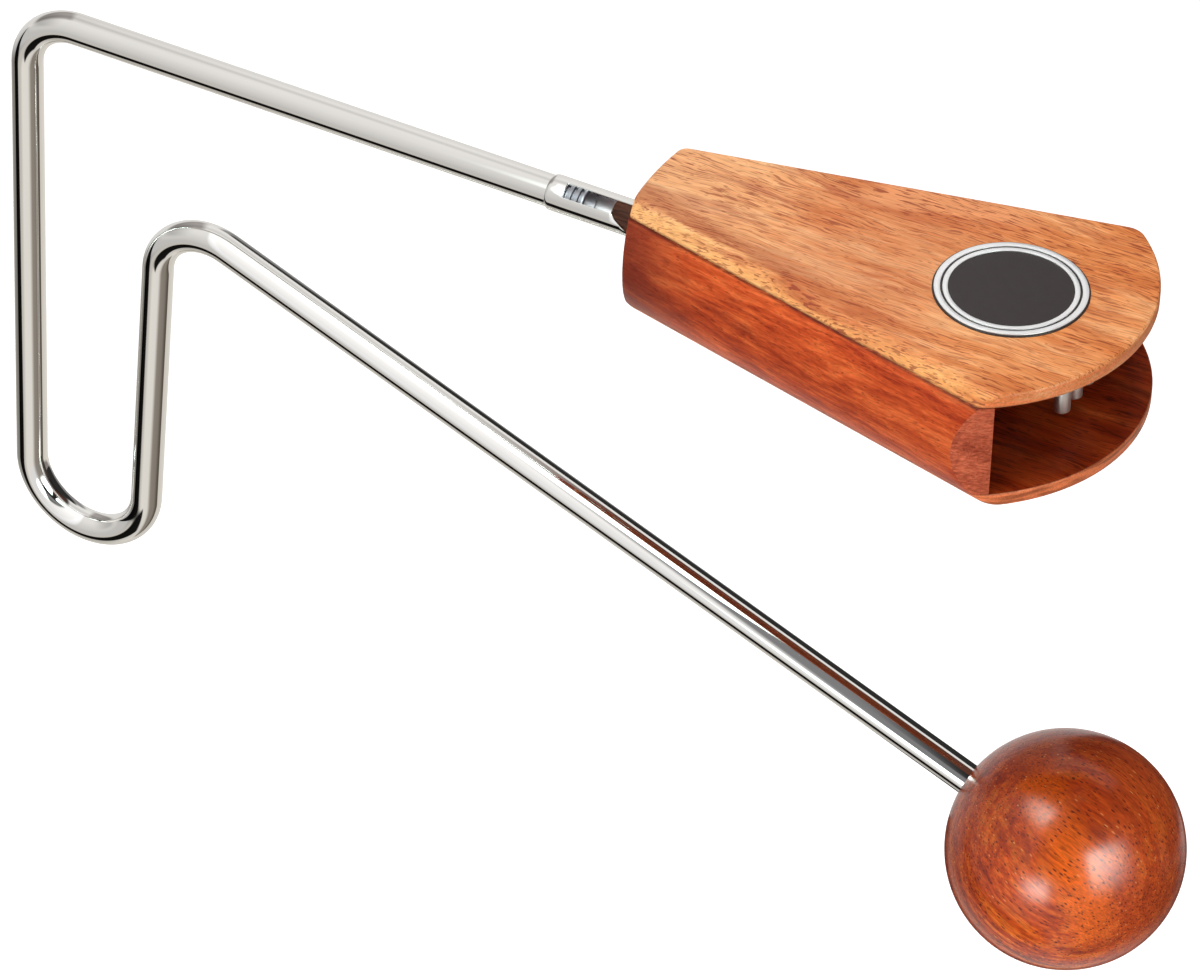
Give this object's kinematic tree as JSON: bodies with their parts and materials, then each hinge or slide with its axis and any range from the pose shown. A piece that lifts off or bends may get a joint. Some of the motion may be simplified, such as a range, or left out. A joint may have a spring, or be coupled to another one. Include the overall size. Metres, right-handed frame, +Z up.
{
  "type": "vibraslap",
  "caption": "Hand percussion rattle: a bent steel rod joins a wooden ball to a tapered hollow wooden box with loose rivets hanging inside.",
  "frame": {"origin": "middle of the straight front limb of the rod's handle, on the rod's axis", "axes": "+X from the handle to the mouth of the sound box, +Z up, the bent rod lies in the plane Y = 0"},
  "size_m": [0.3286, 0.0858, 0.189],
  "materials": {
    "rod_chrome": "polished bright plating",
    "ball_wood": "red-brown stain under gloss lacquer",
    "plate_wood": "orange-tan wood under satin lacquer",
    "cheek_wood": "red-brown hardwood under satin lacquer, bare end grain at the mouth",
    "steel": "plain sheet steel",
    "rivet_steel": "bright nickel-plated",
    "badge_dark": "charcoal print on thin metal",
    "badge_silver": "bright silver"
  },
  "bodies": {
    "frame": {"bent_rod": "rod_chrome", "ball": "ball_wood", "rod_socket": "rod_chrome", "nose_block": "cheek_wood", "top_plate": "plate_wood", "bottom_plate": "plate_wood", "left_cheek": "cheek_wood", "right_cheek": "cheek_wood", "rattle_plate": "steel", "tail_rivets": "steel", "nose_screws": "steel", "badge_plate": "badge_dark", "badge_rings": "badge_silver"},
    "rivet_1": {"rivet_1": "rivet_steel"},
    "rivet_2": {"rivet_2": "rivet_steel"},
    "rivet_3": {"rivet_3": "rivet_steel"},
    "rivet_4": {"rivet_4": "rivet_steel"},
    "rivet_5": {"rivet_5": "rivet_steel"},
    "rivet_6": {"rivet_6": "rivet_steel"},
    "rivet_7": {"rivet_7": "rivet_steel"},
    "rivet_8": {"rivet_8": "rivet_steel"},
    "rivet_9": {"rivet_9": "rivet_steel"}
  },
  "joints": [
    {"name": "rivet_1_drop", "type": "slide", "parent": "frame", "child": "rivet_1", "axis": [0, 0, 1], "range_m": [0, 0.0065]},
    {"name": "rivet_2_drop", "type": "slide", "parent": "frame", "child": "rivet_2", "axis": [0, 0, 1], "range_m": [0, 0.0065]},
    {"name": "rivet_3_drop", "type": "slide", "parent": "frame", "child": "rivet_3", "axis": [0, 0, 1], "range_m": [0, 0.0065]},
    {"name": "rivet_4_drop", "type": "slide", "parent": "frame", "child": "rivet_4", "axis": [0, 0, 1], "range_m": [0, 0.0065]},
    {"name": "rivet_5_drop", "type": "slide", "parent": "frame", "child": "rivet_5", "axis": [0, 0, 1], "range_m": [0, 0.0065]},
    {"name": "rivet_6_drop", "type": "slide", "parent": "frame", "child": "rivet_6", "axis": [0, 0, 1], "range_m": [0, 0.0065]},
    {"name": "rivet_7_drop", "type": "slide", "parent": "frame", "child": "rivet_7", "axis": [0, 0, 1], "range_m": [0, 0.0065]},
    {"name": "rivet_8_drop", "type": "slide", "parent": "frame", "child": "rivet_8", "axis": [0, 0, 1], "range_m": [0, 0.0065]},
    {"name": "rivet_9_drop", "type": "slide", "parent": "frame", "child": "rivet_9", "axis": [0, 0, 1], "range_m": [0, 0.0065]}
  ]
}
